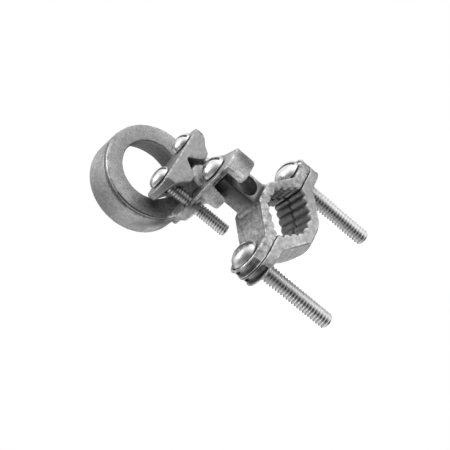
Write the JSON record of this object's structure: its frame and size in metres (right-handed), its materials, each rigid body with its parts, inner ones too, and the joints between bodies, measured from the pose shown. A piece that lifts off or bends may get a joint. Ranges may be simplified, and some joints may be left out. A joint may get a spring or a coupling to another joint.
{
  "type": "earthing pipe clamp",
  "caption": "Cast earthing clamp with toothed jaws for a water pipe, a swivelling hub with a conduit ring, and a screwed wire strap.",
  "frame": {"origin": "middle of the pipe opening, on the parting plane between the jaws", "axes": "+X from screw to screw, +Y along the pipe towards the conduit ring, +Z towards the screw heads"},
  "size_m": [0.0558, 0.0478, 0.0962],
  "materials": {
    "cast_zinc": "as cast, dull grey zinc alloy",
    "plated_steel": "bright zinc plated steel"
  },
  "bodies": {
    "upper": {"upper_jaw": "cast_zinc"},
    "lower": {"lower_jaw": "cast_zinc"},
    "left_screw": {"jaw_screw_left": "plated_steel"},
    "right_screw": {"jaw_screw_right": "plated_steel"},
    "hub": {"hub": "cast_zinc"},
    "pivot": {"hub_screw": "plated_steel"},
    "strap": {"strap": "cast_zinc"},
    "strap_left": {"strap_screw_left": "plated_steel"},
    "strap_right": {"strap_screw_right": "plated_steel"}
  },
  "joints": [
    {"name": "jaw_open", "type": "slide", "parent": "upper", "child": "lower", "axis": [0, 0, -1], "range_m": [0, 0.0254]},
    {"name": "jaw_screw_left_turn", "type": "hinge", "parent": "upper", "child": "left_screw", "pos_m": [-0.02065, 0, 0.00365], "axis": [0, 0, 1], "continuous": true},
    {"name": "jaw_screw_right_turn", "type": "hinge", "parent": "upper", "child": "right_screw", "pos_m": [0.02065, 0, 0.00365], "axis": [0, 0, 1], "continuous": true},
    {"name": "hub_swivel", "type": "hinge", "parent": "upper", "child": "hub", "pos_m": [0, 0, 0.0284], "axis": [0, 0, 1], "continuous": true},
    {"name": "hub_screw_turn", "type": "hinge", "parent": "upper", "child": "pivot", "pos_m": [0, 0, 0.0287], "axis": [0, 0, 1], "continuous": true},
    {"name": "strap_lift", "type": "slide", "parent": "hub", "child": "strap", "axis": [0, 0, 1], "range_m": [0, 0.01]},
    {"name": "strap_screw_left_turn", "type": "hinge", "parent": "strap", "child": "strap_left", "pos_m": [-0.0092, 0.0112, 0.041], "axis": [0, 0, 1], "continuous": true},
    {"name": "strap_screw_right_turn", "type": "hinge", "parent": "strap", "child": "strap_right", "pos_m": [0.0092, 0.0112, 0.041], "axis": [0, 0, 1], "continuous": true}
  ],
  "couplings": [
    {"joint": "jaw_screw_left_turn", "follows": "jaw_open", "rad_per_m": 4947.4},
    {"joint": "jaw_screw_right_turn", "follows": "jaw_open", "rad_per_m": 4947.4},
    {"joint": "strap_screw_left_turn", "follows": "strap_lift", "rad_per_m": 5936.9},
    {"joint": "strap_screw_right_turn", "follows": "strap_lift", "rad_per_m": 5936.9}
  ]
}
